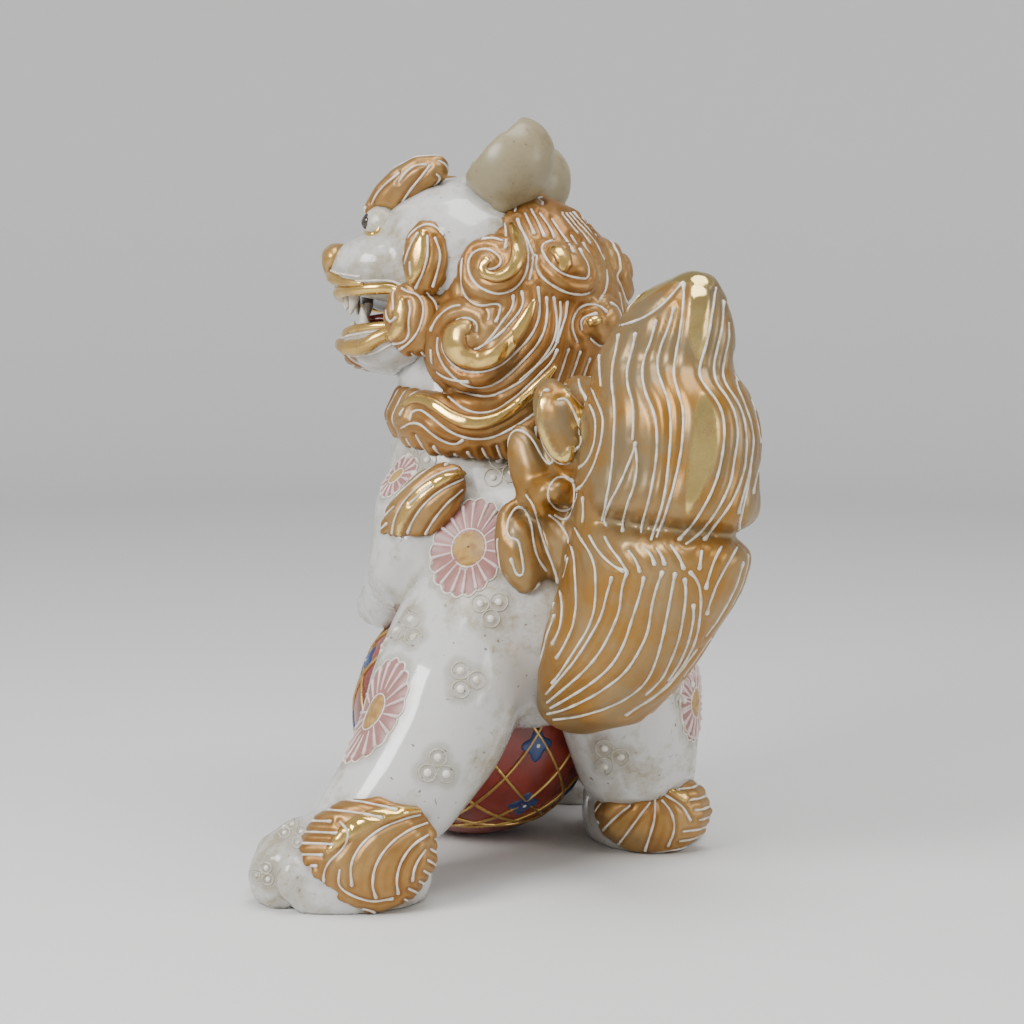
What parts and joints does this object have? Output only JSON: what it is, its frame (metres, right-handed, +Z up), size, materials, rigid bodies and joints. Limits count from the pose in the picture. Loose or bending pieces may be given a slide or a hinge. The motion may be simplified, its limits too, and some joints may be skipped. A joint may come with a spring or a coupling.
{
  "type": "foo dog statue",
  "caption": "Porcelain guardian lion, its head turned to its left, standing over a brocade ball with a tall plume tail.",
  "frame": {"origin": "middle of the statue's footprint, on the plane it stands on", "axes": "+Z up, -Y the way the chest faces, +X the dog's own left side"},
  "size_m": [0.235, 0.2396, 0.3118],
  "materials": {
    "white_glaze": "gloss white porcelain glaze, crackled grime in the creases",
    "gilt": "amber gold lustre, polished on the ridges, with raised white enamel lines",
    "worn_glaze": "worn olive-beige wash over the glaze",
    "red_glaze": "gloss iron-red overglaze",
    "white_enamel": "gloss white enamel",
    "black_glaze": "gloss black-brown glaze"
  },
  "bodies": {
    "root": {"brocade_ball": "red_glaze", "chin_beard": "gilt", "left_brow": "gilt", "left_cheek_tuft": "gilt", "left_ear": "worn_glaze", "left_elbow_tuft": "gilt", "left_eye": "black_glaze", "left_foreleg": "white_glaze", "left_hind_heel_tuft": "gilt", "left_hind_leg": "white_glaze", "left_jowl_curl": "gilt", "lower_jaw": "white_glaze", "lower_left_fang": "white_enamel", "lower_right_fang": "white_enamel", "mane_cap": "gilt", "mane_curl_left_cheek": "gilt", "mane_curl_left_nape": "gilt", "mane_curl_left_temple": "gilt", "mane_curl_right_cheek": "gilt", "mane_curl_right_nape": "gilt", "mane_curl_right_temple": "gilt", "nose": "gilt", "right_brow": "gilt", "right_cheek_tuft": "gilt", "right_ear": "worn_glaze", "right_elbow_tuft": "gilt", "right_eye": "black_glaze", "right_fore_heel_tuft": "gilt", "right_foreleg": "white_glaze", "right_hind_heel_tuft": "gilt", "right_hind_leg": "white_glaze", "right_jowl_curl": "gilt", "ruff": "gilt", "skull": "white_glaze", "tail_left_boss": "gilt", "tail_left_lower_leaf": "gilt", "tail_left_middle_leaf": "gilt", "tail_left_upper_leaf": "gilt", "tail_plume": "gilt", "tail_right_boss": "gilt", "tail_right_lower_leaf": "gilt", "tail_right_middle_leaf": "gilt", "tail_right_upper_leaf": "gilt", "tail_web": "gilt", "tongue": "red_glaze", "torso": "white_glaze", "upper_left_fang": "white_enamel", "upper_right_fang": "white_enamel"}
  },
  "joints": []
}
